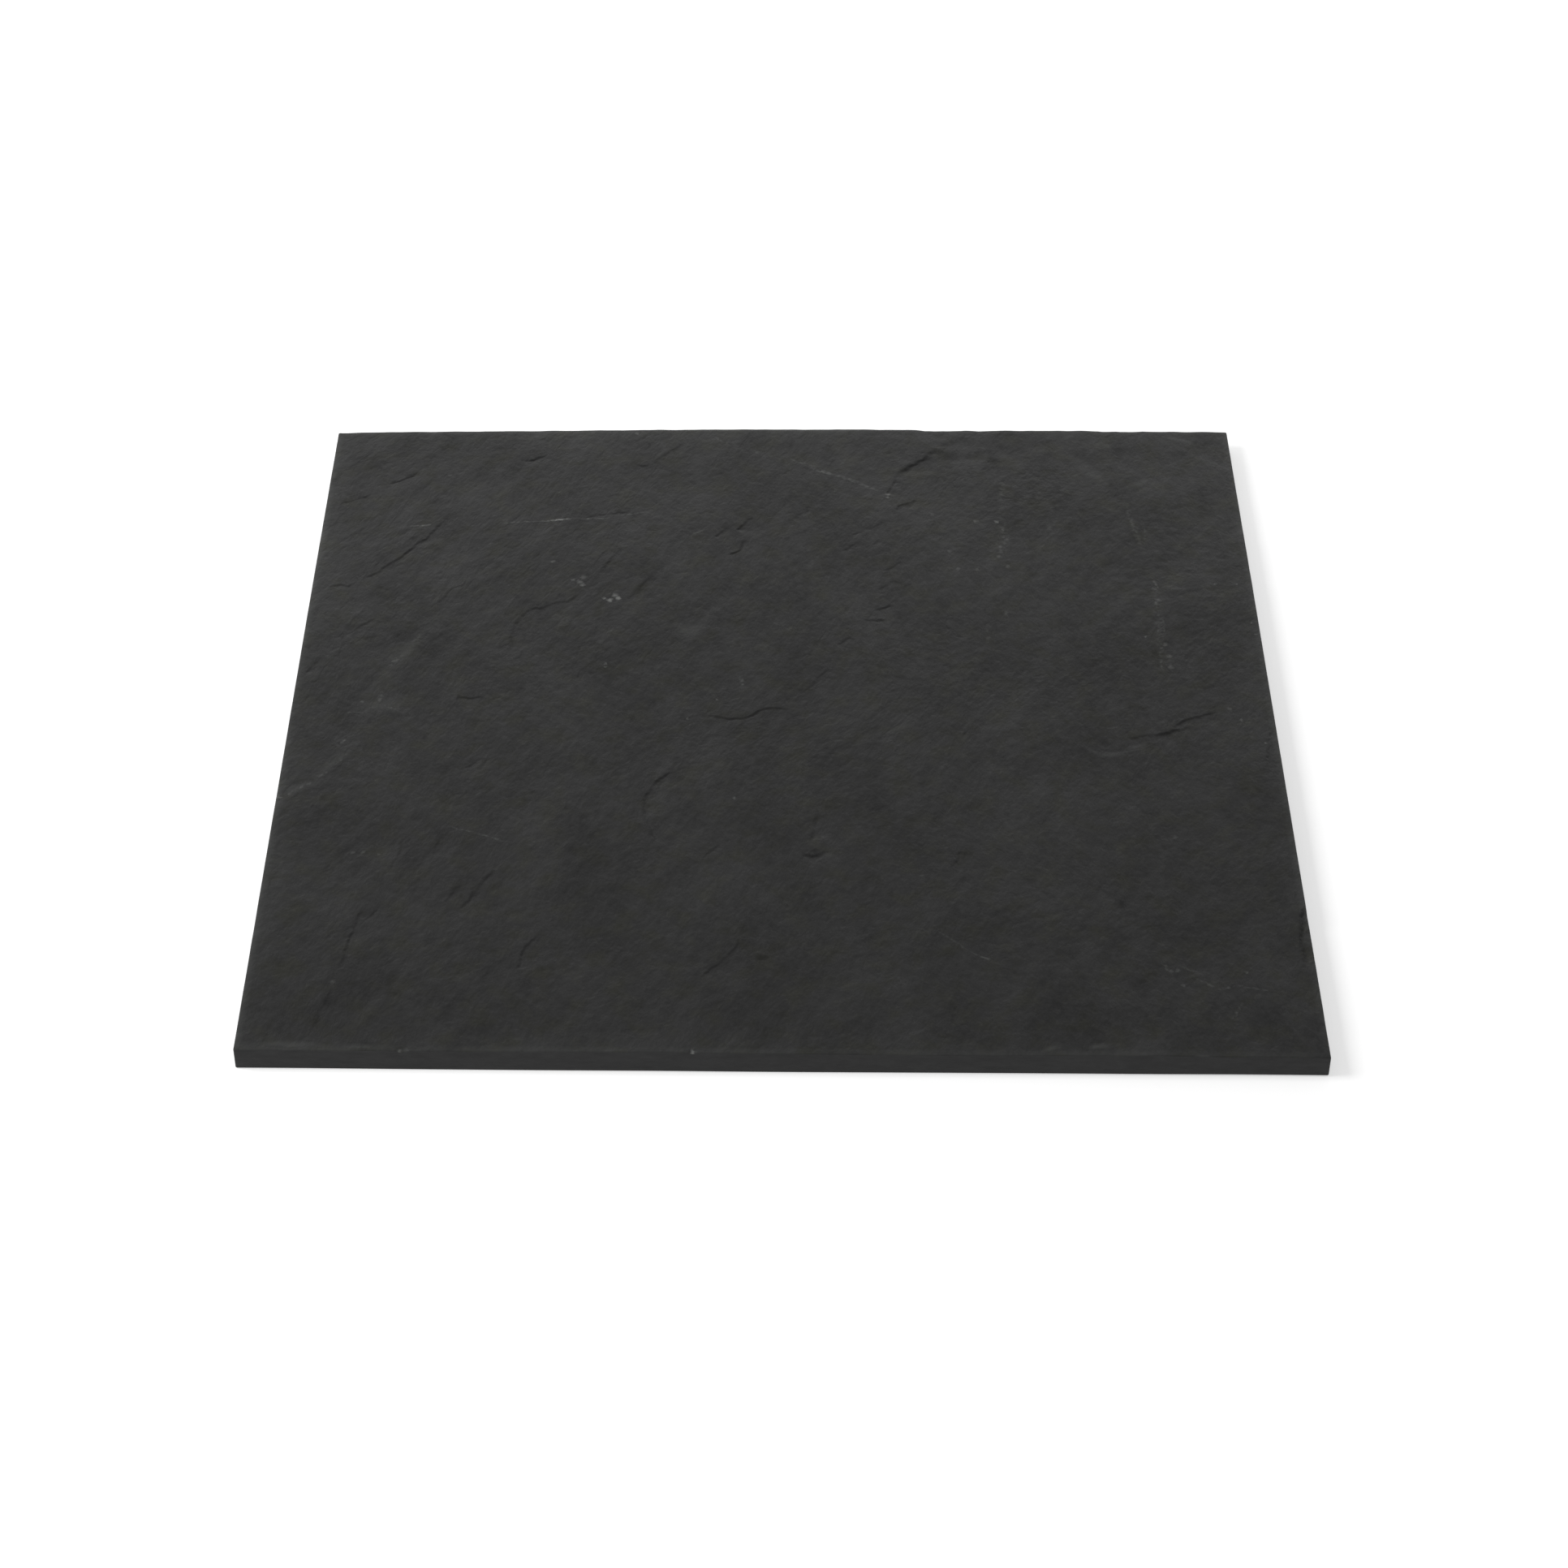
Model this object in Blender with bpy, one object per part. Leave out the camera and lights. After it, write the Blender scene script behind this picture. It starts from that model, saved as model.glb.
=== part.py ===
"""Square slate serving plate: one riven stone slab with sawn edges, standing on four stick-on foam feet.

Metres, +Z up. The feet stand on z = 0, the plate is centred over the origin and its front edge faces -Y.
"""

import math
from collections import namedtuple

import bmesh
import bpy
import numpy as np
from mathutils import Vector, noise
from mathutils.geometry import delaunay_2d_cdt

# Sawn outline: the cuts aren't quite square, so the left side is shorter than the depth by TAPER
WIDTH = 0.300
DEPTH = 0.302
TAPER = 0.004
THICKNESS = 0.0062
ARRIS = 0.0004

# Stick-on feet, and the self-adhesive film that holds each of them
FOOT_DIAMETER = 0.014
FOOT_THICKNESS = 0.0008
FOOT_ROUND = 0.0002
FOOT_INSET = 0.030
FOOT_SIDES = 40
FILM = 0.0003

# Riven faces: slow waves of the cleavage, a crown along the back edge, a swelling towards the front left corner
WAVE_LENGTH = 0.080
WAVE_HEIGHT = 0.00030
CROWN_FALL = 0.0013
CROWN_REACH = 0.110
SWELL_DROP = 0.0008
SWELL_REACH = 0.420
SEAT_MARGIN = 0.003
SEAT_BLEND = 0.012

# Ledges, where a flake of the top face split away: the steep step, and how it wanders from a clean arc
# and dies away over this share of its length at each end
LEDGE_WIDTH = 0.0006
LEDGE_TAPER = 0.35
LEDGE_WANDER = 0.0010
WANDER_LENGTH = 0.006

# Spacing of the points that carry the relief
TOP_STEP = 0.0065
UNDER_STEP = 0.013
LEDGE_STEP = 0.0025
SEAT_POINTS = 20
CLEAR_OF_LEDGE = 0.0024
CLEAR_OF_RIM = 0.0030

# Each ledge is an arc in plan, from a start along a heading and turning as it goes, in metres and degrees.
# The low side lies to the left of the heading. drop is its greatest depth, reach how far the scar runs out.
Ledge = namedtuple("Ledge", "x y heading length turn drop reach")
LEDGES = {
    "back_scar": Ledge(0.0430, 0.1640, 288, 0.040, -8, 0.00080, 0.050),
    "back_right_scar": Ledge(0.1020, 0.1640, 284, 0.042, 10, 0.00065, 0.045),
    "crescent": Ledge(0.0530, 0.1365, 206, 0.036, 62, 0.00085, 0.034),
    "long_left": Ledge(-0.1097, 0.1009, 252, 0.056, -46, 0.00045, 0.040),
    "left_arc": Ledge(-0.0590, 0.0615, 206, 0.046, 60, 0.00060, 0.036),
    "upper_short": Ledge(-0.0075, 0.1003, 224, 0.017, -6, 0.00035, 0.014),
    "middle_arc": Ledge(-0.0240, -0.0220, 207, 0.052, 98, 0.00065, 0.034),
    "middle_hook": Ledge(0.0155, 0.0225, 258, 0.056, -94, 0.00060, 0.030),
    "right_hook": Ledge(0.1330, -0.0005, 212, 0.041, -14, 0.00055, 0.022),
    "front_left_long": Ledge(-0.1155, -0.0875, 244, 0.054, 20, 0.00050, 0.030),
    "front_left_short": Ledge(-0.0830, -0.0740, 240, 0.022, 10, 0.00040, 0.018),
    "front_arc": Ledge(-0.0680, -0.1035, 229, 0.033, 82, 0.00050, 0.026),
    "front_middle": Ledge(-0.0095, -0.1050, 228, 0.020, 4, 0.00035, 0.018),
    "right_edge_chip": Ledge(0.1545, -0.0840, 236, 0.036, 66, 0.00055, 0.012),
}

SEAT = FOOT_THICKNESS + FILM
TOP = SEAT + THICKNESS
FOOT_RADIUS = FOOT_DIAMETER / 2
LEFT_SIDE = DEPTH - TAPER
CORNERS = {
    "front_left": Vector((-WIDTH / 2, -LEFT_SIDE / 2)),
    "front_right": Vector((WIDTH / 2, -DEPTH / 2)),
    "back_right": Vector((WIDTH / 2, DEPTH / 2)),
    "back_left": Vector((-WIDTH / 2, LEFT_SIDE / 2)),
}
FEET = {
    name: corner - FOOT_INSET * Vector((math.copysign(1, corner.x), math.copysign(1, corner.y)))
    for name, corner in CORNERS.items()
}


def material(name, color, roughness):
    """A Principled material of one linear colour."""
    made = bpy.data.materials.new(name)
    made.use_nodes = True
    shader = made.node_tree.nodes["Principled BSDF"]
    shader.inputs["Base Color"].default_value = (*color, 1)
    shader.inputs["Roughness"].default_value = roughness
    return made


def smooth(value):
    """0 below 0, 1 above 1, and an S-curve between."""
    value = np.clip(value, 0, 1)
    return value * value * (3 - 2 * value)


def waves(plan, layer):
    """Slow waves of a cleavage face, between about -1 and 1; layer picks which face."""
    points = plan / WAVE_LENGTH
    return np.array([noise.fractal(Vector((x, y, layer)), 1.0, 2.0, 2) for x, y in points])


def ledge_path(ledge):
    """The ledge's line in plan: an arc that wanders a little to either side, as split stone does."""
    count = max(4, round(ledge.length / LEDGE_STEP))
    run = np.linspace(0, 1, count + 1)
    headings = np.radians(ledge.heading + ledge.turn * (run[:-1] + run[1:]) / 2)
    steps = np.column_stack([np.cos(headings), np.sin(headings)]) * ledge.length / count
    path = np.vstack([[0, 0], np.cumsum(steps, axis=0)]) + (ledge.x, ledge.y)
    wander = [noise.noise(Vector((x, y, 0)) / WANDER_LENGTH) for x, y in path]
    return path + LEDGE_WANDER * np.array(wander)[:, None] * sideways(path)


def sideways(path):
    """Unit vectors to the left of the path at each of its points."""
    along = np.gradient(path, axis=0)
    along /= np.linalg.norm(along, axis=1, keepdims=True)
    return np.column_stack([-along[:, 1], along[:, 0]])


def ledge_fall(ledge, plan):
    """How far each plan point lies below the face because of one ledge: a step, then a scar that runs out."""
    path = ledge_path(ledge)
    along = np.diff(path, axis=0)
    offset = plan[:, None] - path[:-1]
    share = np.clip((offset * along).sum(axis=2) / (along ** 2).sum(axis=1), 0, 1)
    away = offset - share[..., None] * along
    distance = np.linalg.norm(away, axis=2)
    rows = np.arange(len(plan))
    nearest = distance.argmin(axis=1)
    away, along = away[rows, nearest], along[nearest]
    left = np.sign(along[:, 0] * away[:, 1] - along[:, 1] * away[:, 0]) * distance[rows, nearest]
    run = (nearest + share[rows, nearest]) / (len(path) - 1)
    step = smooth(left / LEDGE_WIDTH + 0.5)
    runs_out = np.clip(1 - left / ledge.reach, 0, 1) ** 2
    tapered = smooth(run / LEDGE_TAPER) * smooth((1 - run) / LEDGE_TAPER)
    return ledge.drop * step * runs_out * tapered


def top_height(plan):
    """Height of the riven top face over plan points."""
    back = smooth(1 - (DEPTH / 2 - plan[:, 1]) / CROWN_REACH)
    crown = CROWN_FALL * back * (0.5 - (2 * plan[:, 0] / WIDTH) ** 2)
    fall = sum(ledge_fall(ledge, plan) for ledge in LEDGES.values())
    return TOP + WAVE_HEIGHT * waves(plan, 0) + crown - fall


def under_height(plan):
    """Height of the riven underside over plan points, level with the feet's seats where they stick."""
    gaps = [np.linalg.norm(plan - np.array(foot), axis=1) for foot in FEET.values()]
    free = smooth((np.min(gaps, axis=0) - FOOT_RADIUS - SEAT_MARGIN) / SEAT_BLEND)
    corner = np.linalg.norm(plan - np.array(CORNERS["front_left"]), axis=1)
    swell = SWELL_DROP * smooth(1 - corner / SWELL_REACH)
    return SEAT + free * (WAVE_HEIGHT * waves(plan, 1) - swell)


def around(items):
    """Each item with the one after it, closing the loop."""
    return list(zip(items, items[1:] + items[:1]))


def rim(inset):
    """Points round the sawn outline, counter-clockwise, moved in from it by inset."""
    corners = list(CORNERS.values())
    sides = [(b - a).normalized() for a, b in around(corners)]
    moved = []
    for corner, (before, after) in zip(corners, around(sides[-1:] + sides[:-1])):
        inward = Vector((-before.y - after.y, before.x + after.x))
        moved.append(corner + inset * inward / (1 + before.dot(after)))
    points = []
    for (a, b), (start, end) in zip(around(corners), around(moved)):
        count = round((b - a).length / TOP_STEP)
        points += [start.lerp(end, i / count) for i in range(count)]
    return np.array(points)


def scattered(step):
    """Plan points in staggered rows over the outline, each a little out of line."""
    points = []
    for j in range(round(DEPTH / step)):
        for i in range(round(WIDTH / step)):
            place = Vector((i + j % 2 / 2 - WIDTH / step / 2, j + 0.5 - DEPTH / step / 2, 0))
            points.append((place + noise.noise_vector(place * 3.7) * 0.3).xy * step)
    return np.array(points)


def inside(points, margin):
    """The points that lie within the outline by at least margin."""
    half_depth = np.interp(points[:, 0], (-WIDTH / 2, WIDTH / 2), (LEFT_SIDE / 2, DEPTH / 2))
    return points[(abs(points[:, 0]) < WIDTH / 2 - margin) & (abs(points[:, 1]) < half_depth - margin)]


def clear_of(points, others, gap):
    """The points that lie at least gap from all the others."""
    return points[np.linalg.norm(points[:, None] - others, axis=2).min(axis=1) > gap]


def triangulated(edge, inner):
    """Plan points and triangles of a face with this edge and these inner points; the edge points come first."""
    points = [Vector(p) for p in np.vstack([edge, inner])]
    outline = list(range(len(edge)))
    made = delaunay_2d_cdt(points, [], [outline], 1, 1e-7)
    return np.array(made[0]), made[2]


def top_points():
    """Inner points of the top face: a crest, a toe and a floor row along each ledge, and scattered ones between."""
    rows = []
    for ledge in LEDGES.values():
        path = ledge_path(ledge)
        rows += [path + sideways(path) * LEDGE_WIDTH * place for place in (-0.5, 0.5, 3)]
    rows = inside(np.vstack(rows), CLEAR_OF_RIM / 2)
    return np.vstack([rows, clear_of(inside(scattered(TOP_STEP), CLEAR_OF_RIM), rows, CLEAR_OF_LEDGE)])


def under_points():
    """Inner points of the underside: two rings round each foot's seat, and scattered ones between."""
    turns = np.linspace(0, 2 * np.pi, SEAT_POINTS, endpoint=False)
    circle = np.column_stack([np.cos(turns), np.sin(turns)])
    seat = FOOT_RADIUS + SEAT_MARGIN
    rings = [np.array(foot) + circle * radius for foot in FEET.values() for radius in (seat, seat + SEAT_BLEND)]
    rings = inside(np.vstack(rings), CLEAR_OF_RIM)
    return np.vstack([rings, clear_of(inside(scattered(UNDER_STEP), CLEAR_OF_RIM), rings, CLEAR_OF_LEDGE)])


def slate_slab():
    """The stone: two riven faces joined round the edge by the sawn sides and a worn arris along each corner."""
    inner, outer = rim(ARRIS), rim(0)
    bm = bmesh.new()
    top_plan, top_faces = triangulated(inner, top_points())
    under_plan, under_faces = triangulated(inner, under_points())
    top = [bm.verts.new((x, y, z)) for (x, y), z in zip(top_plan, top_height(top_plan))]
    under = [bm.verts.new((x, y, z)) for (x, y), z in zip(under_plan, under_height(under_plan))]
    for a, b, c in top_faces:
        bm.faces.new((top[a], top[b], top[c]))
    for a, b, c in under_faces:
        bm.faces.new((under[c], under[b], under[a]))
    count = len(inner)
    upper = [bm.verts.new((x, y, v.co.z - ARRIS)) for (x, y), v in zip(outer, top)]
    lower = [bm.verts.new((x, y, v.co.z + ARRIS)) for (x, y), v in zip(outer, under)]
    for above, below in ((top, upper), (upper, lower), (lower, under)):
        for i in range(count):
            j = (i + 1) % count
            bm.faces.new((above[i], below[i], below[j], above[j]))
    mesh = bpy.data.meshes.new("slate_slab")
    bm.to_mesh(mesh)
    bm.free()
    return bpy.data.objects.new("slate_slab", mesh)


def foot(name, place):
    """A die-cut foam disc, rounded along the lower edge that it stands on."""
    bm = bmesh.new()
    bmesh.ops.create_cone(
        bm, cap_ends=True, segments=FOOT_SIDES, radius1=FOOT_RADIUS, radius2=FOOT_RADIUS, depth=FOOT_THICKNESS)
    lower = [e for e in bm.edges if all(v.co.z < 0 for v in e.verts)]
    bmesh.ops.bevel(bm, geom=lower, offset=FOOT_ROUND, segments=2, profile=0.5, affect="EDGES")
    mesh = bpy.data.meshes.new(name)
    bm.to_mesh(mesh)
    bm.free()
    mesh.shade_smooth()
    mesh.set_sharp_from_angle(angle=math.radians(50))
    made = bpy.data.objects.new(name, mesh)
    made.location = (*place, FOOT_THICKNESS / 2)
    return made


def main():
    for old in list(bpy.data.objects):
        bpy.data.objects.remove(old)
    plate = bpy.data.objects.new("slate_plate", None)
    slate = material("riven_slate", (0.034, 0.034, 0.033), 0.62)
    foam = material("eva_foam", (0.012, 0.012, 0.013), 0.9)
    pieces = [(slate_slab(), slate)]
    pieces += [(foot(f"foot_{name}", place), foam) for name, place in FEET.items()]
    bpy.context.scene.collection.objects.link(plate)
    for piece, finish in pieces:
        piece.data.materials.append(finish)
        piece.parent = plate
        bpy.context.scene.collection.objects.link(piece)


main()
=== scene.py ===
"""Square slate serving plate, dressed: the riven slab, its foam feet, the floor, the light and the camera."""

import math
from collections import namedtuple

import bpy
import numpy as np
from mathutils import Matrix, Vector, noise
from mathutils.bvhtree import BVHTree


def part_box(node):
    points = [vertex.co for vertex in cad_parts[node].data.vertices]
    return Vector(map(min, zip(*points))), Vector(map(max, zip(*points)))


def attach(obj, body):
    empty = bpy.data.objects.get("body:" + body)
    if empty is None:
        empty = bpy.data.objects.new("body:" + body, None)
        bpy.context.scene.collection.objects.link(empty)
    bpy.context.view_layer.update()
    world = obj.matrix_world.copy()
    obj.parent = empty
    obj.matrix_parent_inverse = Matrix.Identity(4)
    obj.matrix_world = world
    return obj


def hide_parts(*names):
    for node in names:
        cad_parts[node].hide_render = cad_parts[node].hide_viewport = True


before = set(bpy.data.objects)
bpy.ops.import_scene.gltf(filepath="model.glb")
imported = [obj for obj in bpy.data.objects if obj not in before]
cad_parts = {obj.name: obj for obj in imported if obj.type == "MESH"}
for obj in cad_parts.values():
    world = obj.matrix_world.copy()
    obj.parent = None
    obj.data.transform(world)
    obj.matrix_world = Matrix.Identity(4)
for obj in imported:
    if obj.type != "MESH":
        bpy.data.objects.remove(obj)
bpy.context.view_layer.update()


# The slab is one piece of natural slate, split by hand along its cleavage so that both faces are riven, then
# sawn to a rough square. Nothing is fixed to it but the feet. Places in plan and heights here are in
# millimetres, x to the right and y to the back.
MM = 0.001
SLAB_LOW, SLAB_HIGH = (np.array(corner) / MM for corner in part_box("slate_slab"))
WIDTH, DEPTH, HEIGHT = SLAB_HIGH - SLAB_LOW
cad_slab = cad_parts["slate_slab"].data
cad_points = np.array([vertex.co for vertex in cad_slab.vertices]) / MM
LEFT_SIDE = 2 * cad_points[cad_points[:, 0] < SLAB_LOW[0] + 0.1, 1].max()

CELL = 3.0
TOP_CUTS = 1
ARRIS = 0.5
LEDGE_BAND, LEDGE_CUTS = 1.6, 4
SMOOTH_BELOW = math.radians(60)
NICK_DROP, NICK_REACH, NICK_WIDTH = 0.15, 5, 0.6

# Slow form of the top: waves of the cleavage, and a crown along the back edge
WAVE_LENGTH, WAVE_HEIGHT = 80, 0.30
CROWN_REACH, CROWN_FALL = 110, 1.3

# Relief of the cleavage: lineation runs up to the right, and flakes step down to the lower right
GRAIN = math.radians(60)
BEND_LENGTH, BEND = 90, 4
RIPPLE_ALONG, RIPPLE_ACROSS, RIPPLE_HEIGHT = 32, 6, 0.17
RAGGED_LENGTH, RAGGED, RAGGED_DECAY = 5, 0.6, 0.4

# Ledges, where a flake split away: how deep, how far the scar runs out, how wide the step is, and its path
# in plan. The low side lies to the left along the path, and both ends die away. The face of each narrow
# step is painted with shade, in full once its drop is deep enough.
LEDGE_FADE, UNEVEN_LENGTH, STEP_SHADE_FULL_DROP = 0.18, 5, 0.40
Ledge = namedtuple("Ledge", "drop reach width path")
LEDGES = {
    "back_scar": Ledge(0.80, 50, 6.0, [(43, 164), (48, 150), (52, 138), (55, 126)]),
    "back_right_scar": Ledge(0.65, 45, 6.0, [(102, 164), (106, 150), (110, 136), (114, 123)]),
    "crescent": Ledge(0.50, 22, 1.4, [
        (51, 139), (48, 134), (46, 131.5), (42, 128.5), (38.8, 124.8), (37, 121)]),
    "crescent_tail": Ledge(0.30, 12, 0.6, [(37.5, 121), (35.8, 116.5), (33.8, 112)]),
    "crescent_foot": Ledge(0.26, 10, 0.5, [(44.5, 110), (41, 107.5), (38.5, 106), (36.8, 102.5)]),
    "long_left": Ledge(0.28, 36, 0.5, [
        (-107.5, 105), (-110.5, 98), (-115, 89), (-118.5, 84.5), (-123, 78.5), (-128, 71.5),
        (-130.5, 68.5), (-136.5, 65.5)]),
    "long_left_end": Ledge(0.26, 8, 0.5, [(-136.5, 64), (-138.3, 62), (-140.5, 63), (-145.5, 61)]),
    "left_arc": Ledge(0.20, 34, 0.8, [
        (-63, 59.5), (-67, 55), (-75, 51.5), (-80, 50), (-82.5, 46), (-84, 42), (-85, 36), (-85, 26)]),
    "left_arc_head": Ledge(0.20, 12, 0.6, [(-51.5, 84), (-55, 77.5), (-57.5, 72.5), (-59.5, 68)]),
    "left_arc_upper": Ledge(0.18, 14, 0.6, [(-41.5, 68.5), (-45, 62), (-49, 56)]),
    "under_scratch": Ledge(0.16, 8, 0.5, [(-49.5, 102.7), (-57, 101.3), (-64, 99.6)]),
    "upper_short": Ledge(0.40, 14, 0.5, [(-9, 99.6), (-11.5, 98), (-13, 95.5), (-15, 92)]),
    "upper_twin": Ledge(0.26, 10, 0.5, [(-17.5, 93.5), (-20, 91), (-22.5, 88.5)]),
    "upper_hook": Ledge(0.36, 8, 0.5, [(-12.5, 87.5), (-13.5, 83.5), (-15, 80.5), (-17.8, 79.5)]),
    "middle_arc": Ledge(0.36, 26, 0.5, [
        (-31.5, -29), (-36, -33), (-38.5, -36), (-40, -39.5), (-41, -43), (-41.2, -48)]),
    "middle_arc_tail": Ledge(0.26, 20, 0.7, [(-41, -44), (-41, -49), (-40, -54), (-38, -60), (-35, -68)]),
    "middle_hook": Ledge(0.32, 24, 0.6, [
        (3, -0.5), (-3, 1), (-6, 0.3), (-9, -2.5), (-12, -4.8), (-15.5, -4.5), (-19, -3.5), (-25.5, -3)]),
    "middle_hook_head": Ledge(0.16, 14, 0.7, [(14.5, 22), (12.5, 17), (9.5, 13), (6, 8), (3, 2.5)]),
    "right_hook": Ledge(0.34, 14, 0.6, [(133, -0.8), (127, -3), (124, -4), (121.5, -5.5), (119, -8.5)]),
    "right_hook_lower": Ledge(0.36, 14, 0.9, [
        (125, -6.5), (121, -9), (117, -10.8), (112, -12), (107, -13), (103, -13.5)]),
    "right_dish": Ledge(0.16, 8, 0.8, [(91, -12), (94, -18), (98, -21), (105, -19.7), (114, -15)]),
    "right_small": Ledge(0.14, 10, 0.6, [(48.8, 47), (51, 42), (52.5, 38.5), (54, 35.8), (59, 36.7)]),
    "centre_upper": Ledge(0.26, 6, 0.5, [(34.5, 53.5), (31.5, 50.8), (28.5, 49.5)]),
    "centre_lower": Ledge(0.34, 6, 0.6, [(32.5, 45), (28.5, 44.6), (25.5, 45.2)]),
    "centre_small": Ledge(0.20, 6, 0.5, [(21.5, 36.5), (19.5, 34.5), (16.5, 31.5)]),
    "front_left_long": Ledge(0.38, 26, 0.5, [
        (-119.5, -90), (-121.5, -97), (-122.5, -105), (-123.5, -110), (-124.3, -117)]),
    "front_left_branch": Ledge(0.20, 8, 0.5, [(-114.5, -89), (-117.5, -95), (-121, -99.5)]),
    "front_left_foot": Ledge(0.18, 16, 0.6, [(-125, -124), (-128, -135), (-130, -144)]),
    "front_left_short": Ledge(0.24, 18, 0.7, [(-82, -71.5), (-85.5, -78), (-88, -83.5), (-92.5, -93)]),
    "front_left_twin": Ledge(0.18, 7, 0.5, [(-93.3, -81), (-95, -85.5), (-96.5, -89.5)]),
    "front_left_faint": Ledge(0.14, 10, 0.6, [(-110.5, -60), (-112, -70), (-115, -77)]),
    "front_left_dash": Ledge(0.18, 8, 0.6, [(-100, -59.5), (-100.8, -64), (-101.5, -69)]),
    "front_arc": Ledge(0.36, 16, 0.5, [(-69, -103), (-72.5, -107), (-74, -114), (-73.8, -118)]),
    "front_arc_foot": Ledge(0.18, 14, 0.7, [(-74, -120), (-72, -127), (-67, -133)]),
    "front_middle": Ledge(0.22, 14, 0.5, [(-11, -104.5), (-15.5, -111), (-19, -115.5), (-23.5, -120.5)]),
    "left_nick": Ledge(0.32, 7, 0.6, [(-91.5, 6), (-95.5, 4.6), (-97.5, 5.5), (-101, 4)]),
    "teardrop": Ledge(0.22, 9, 0.6, [(10.3, -49), (9, -56), (8.4, -62)]),
    "teardrop_foot": Ledge(0.26, 4, 0.9, [(13, -65), (11, -67.5), (8.5, -68.3), (6, -66.5)]),
    "front_nick": Ledge(0.22, 7, 0.5, [(-18, -62.5), (-20.5, -65.8), (-23.5, -69.5)]),
    "front_right_nick": Ledge(0.26, 7, 0.5, [(52.5, -65.5), (50.8, -69.5), (48.5, -73)]),
    "front_right_line": Ledge(0.14, 7, 0.6, [(48.5, -128), (47.5, -134), (46, -140)]),
    "back_left_nick": Ledge(0.34, 6, 0.6, [(-78, 135.5), (-82, 133.2), (-87.5, 131.5)]),
    "far_left_nick": Ledge(0.34, 6, 0.6, [(-121, 125.5), (-125.5, 121.3), (-130.5, 118.5)]),
    "left_edge_nick": Ledge(0.22, 6, 0.6, [(-136.5, 111.5), (-140.5, 109.7), (-145, 108)]),
    "back_wave": Ledge(0.24, 10, 0.6, [
        (-33, 141.5), (-38.5, 136.5), (-41, 133), (-43.2, 129.5), (-47, 128), (-50.5, 130)]),
    "left_faint": Ledge(0.18, 8, 0.6, [(-128.5, 45), (-132, 42), (-137, 36)]),
    "left_edge_faint": Ledge(0.20, 8, 0.6, [(-143, 25.5), (-145, 22), (-148, 16)]),
    "right_edge_chip": Ledge(0.80, 6, 0.9, [(149.5, -88), (148, -97), (146.6, -106), (147.3, -116)]),
    "right_edge_nick": Ledge(0.30, 6, 0.7, [(148.5, -8), (147, -15), (145.5, -25), (145.3, -31)]),
}
# Short ragged nicks, most of them below the crescent, which all run the same way
NICKS = [
    (25.5, 92), (31.5, 95.5), (22, 83.5), (29, 84.5), (35.5, 73), (33, 63), (6, 101),
    (-92.5, -26), (-98, -42),
]
for number, (nick_x, nick_y) in enumerate(NICKS):
    path = [(nick_x + 3, nick_y + 3), (nick_x, nick_y), (nick_x - 3.4, nick_y - 2.6)]
    LEDGES[f"nick_{number}"] = Ledge(NICK_DROP, NICK_REACH, NICK_WIDTH, path)
# Small pits and edge chips: place in plan, radius and depth
PITS = [
    (97.5, -16.5, 1.8, 0.15), (-6, -112, 1.4, 0.2), (9.5, -66.5, 1.6, 0.2),
    (-104, -149.4, 1.6, 0.45), (-24.5, -149.8, 1.3, 0.45), (-96, -149.4, 1.0, 0.25), (-14, -150, 0.9, 0.2),
]


def smooth(value):
    """0 below 0, 1 above 1, and an S-curve between."""
    value = np.clip(value, 0, 1)
    return value * value * (3 - 2 * value)


def field(x, y, layer, octaves=1, decay=1.0):
    """Fractal noise at plan points, between about -1 and 1; layer picks one field out of many."""
    return np.array([noise.fractal((a, b, layer), decay, 2.0, octaves) for a, b in zip(x, y)])


def slow_form(x, y):
    """The slow waves of the cleavage, and the crown along the back edge."""
    back = smooth(1 - (DEPTH / 2 - y) / CROWN_REACH)
    waves = field(x / WAVE_LENGTH, y / WAVE_LENGTH, 0, 2)
    return WAVE_HEIGHT * waves + CROWN_FALL * back * (0.5 - (2 * x / WIDTH) ** 2)


def rounded(path):
    """The path with its corners cut twice, so that it curves."""
    path = np.array(path, float)
    for _ in range(2):
        cut = [path[:-1] * 0.75 + path[1:] * 0.25, path[:-1] * 0.25 + path[1:] * 0.75]
        path = np.vstack([path[:1], np.stack(cut, axis=1).reshape(-1, 2), path[-1:]])
    return path


def along_ledge(ledge, x, y):
    """Plan points near a ledge: which they are, how far to its left each lies, and how far along it."""
    path = rounded(ledge.path)
    along = np.diff(path, axis=0)
    plan = np.column_stack([x, y])
    inside = (plan > path.min(axis=0) - ledge.reach) & (plan < path.max(axis=0) + ledge.reach)
    near = np.flatnonzero(inside.all(axis=1))
    offset = plan[near, None] - path[:-1]
    share = np.clip((offset * along).sum(axis=2) / (along ** 2).sum(axis=1), 0, 1)
    away = offset - share[..., None] * along
    distance = np.linalg.norm(away, axis=2)
    rows, nearest = np.arange(len(near)), distance.argmin(axis=1)
    side = np.sign(along[nearest, 0] * away[rows, nearest, 1] - along[nearest, 1] * away[rows, nearest, 0])
    lengths = np.linalg.norm(along, axis=1)
    run = lengths.cumsum()[nearest] - (1 - share[rows, nearest]) * lengths[nearest]
    return near, side * distance[rows, nearest], run / lengths.sum()


def ragged(x, y):
    """The plan points, each moved a little out of line, so that what is drawn on them comes out ragged."""
    return [place + RAGGED * field(x / RAGGED_LENGTH, y / RAGGED_LENGTH, number, 3, RAGGED_DECAY)
            for place, number in ((x, 15), (y, 16))]


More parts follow.
